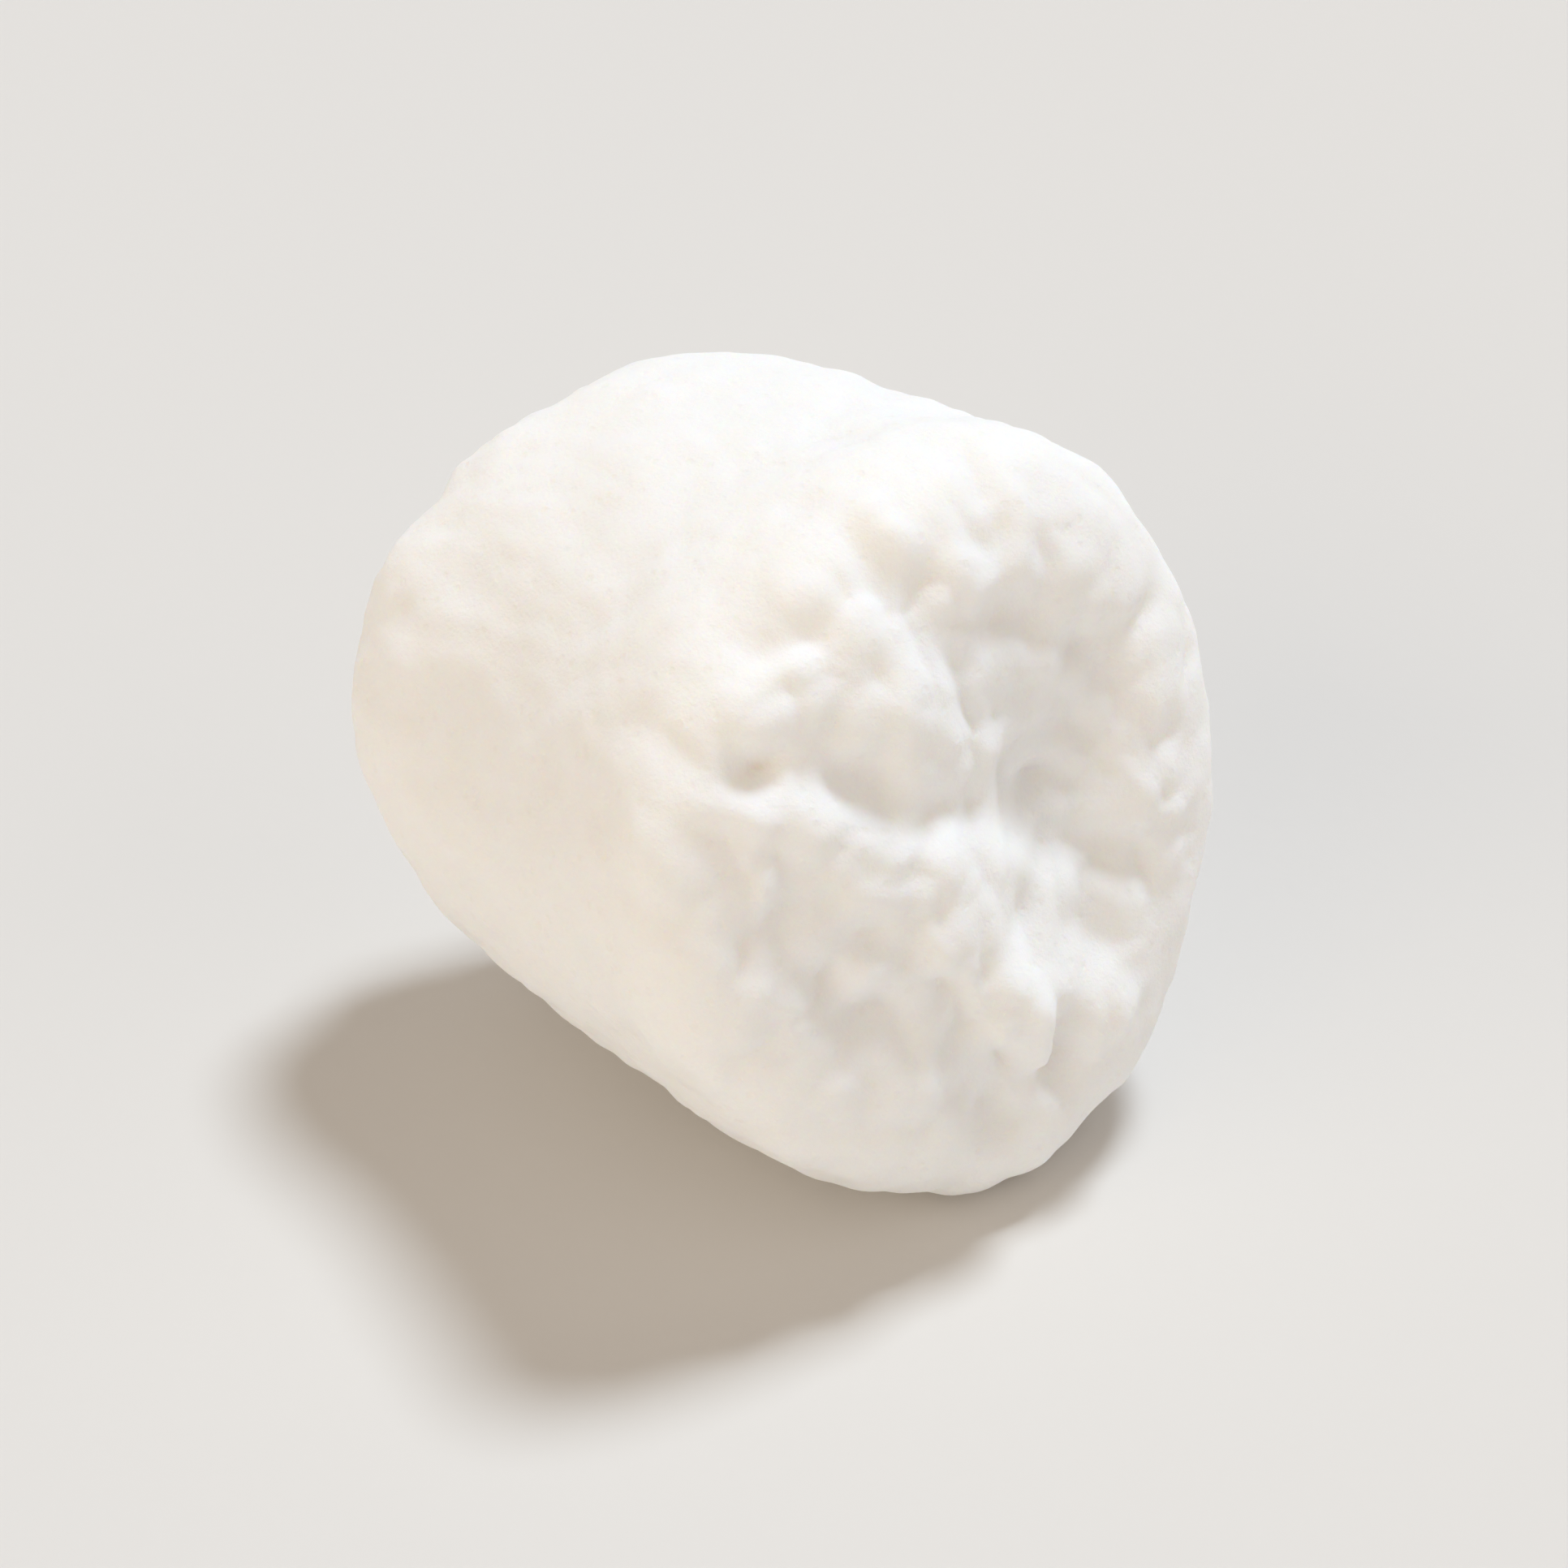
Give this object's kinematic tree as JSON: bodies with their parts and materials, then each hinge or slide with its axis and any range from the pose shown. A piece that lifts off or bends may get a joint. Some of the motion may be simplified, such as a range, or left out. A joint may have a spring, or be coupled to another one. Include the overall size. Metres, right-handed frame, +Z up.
{
  "type": "small marshmallow",
  "caption": "Short puffy cylinder of white sugar foam lying on its side, with rounded edges, crumpled cut faces and a dry dusting of starch.",
  "frame": {"origin": "under the middle of the piece, on the plane that it rests on (bottom centre of its box)", "axes": "+Z up; the cylinder's axis lies along Y, with the wider, crumpled front face towards -Y and the narrower back face towards +Y; X across the piece"},
  "size_m": [0.012, 0.0126, 0.012],
  "materials": {
    "sugar_foam": "dry matte sugar foam dusted with starch, white with a faint cream tone, soft and slightly translucent"
  },
  "bodies": {
    "root": {"marshmallow": "sugar_foam"}
  },
  "joints": []
}
